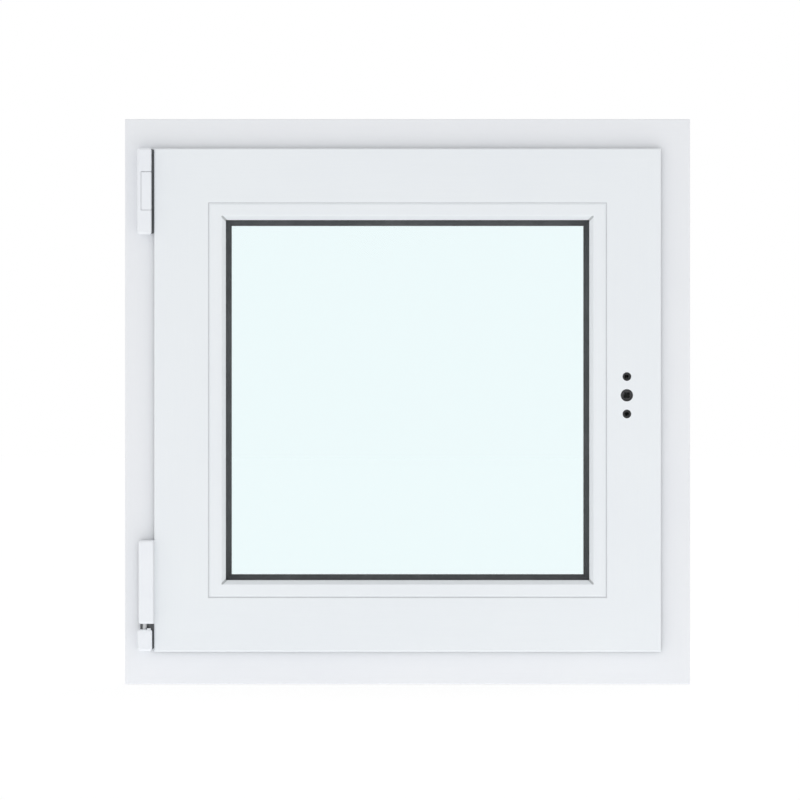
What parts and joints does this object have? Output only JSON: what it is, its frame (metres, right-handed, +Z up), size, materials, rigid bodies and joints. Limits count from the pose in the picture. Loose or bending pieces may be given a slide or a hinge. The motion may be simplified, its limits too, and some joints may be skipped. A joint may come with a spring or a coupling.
{
  "type": "tilt and turn window",
  "caption": "Closed plastic tilt and turn window: fixed frame, sash with sealed double glazing, beads, gaskets, hinges and a bored stile for a handle.",
  "frame": {"origin": "middle of the sill's underside, halfway through the frame's depth", "axes": "+Z up, +X right as seen from the room, -Y towards the room (the side with the handle holes), hinges at -X"},
  "size_m": [0.65, 0.097, 0.65],
  "materials": {
    "white_pvc": "satin white extruded plastic",
    "cover_plastic": "satin white moulded plastic",
    "gasket_rubber": "matt dark grey rubber",
    "glass": "clear float glass",
    "spacer_aluminium": "plain rolled spacer bar",
    "sealant": "black edge sealant",
    "hinge_steel": "zinc plated steel"
  },
  "bodies": {
    "root": {"frame_head": "white_pvc", "frame_sill": "white_pvc", "frame_hinge_jamb": "white_pvc", "frame_lock_jamb": "white_pvc", "frame_stop_gasket": "gasket_rubber", "drain_cover_left": "cover_plastic", "drain_cover_right": "cover_plastic", "sash_top_rail": "white_pvc", "sash_bottom_rail": "white_pvc", "sash_hinge_stile": "white_pvc", "sash_lock_stile": "white_pvc", "sash_overlap_gasket": "gasket_rubber", "glazing_bead_top": "white_pvc", "glazing_bead_bottom": "white_pvc", "glazing_bead_left": "white_pvc", "glazing_bead_right": "white_pvc", "glazing_gasket_room": "gasket_rubber", "glazing_gasket_outside": "gasket_rubber", "glass_pane_room": "glass", "glass_pane_outside": "glass", "glass_spacer": "spacer_aluminium", "edge_sealant": "sealant", "upper_hinge_plate": "hinge_steel", "upper_hinge_bearing": "cover_plastic", "stay_knuckle": "cover_plastic", "upper_hinge_pin": "hinge_steel", "pivot_rest_bracket": "hinge_steel", "pivot_rest_cover": "cover_plastic", "pivot_pin": "hinge_steel", "sash_hinge_strap": "hinge_steel", "sash_hinge_cover": "cover_plastic", "lock_gearbox": "hinge_steel", "spindle_follower": "hinge_steel"}
  },
  "joints": []
}
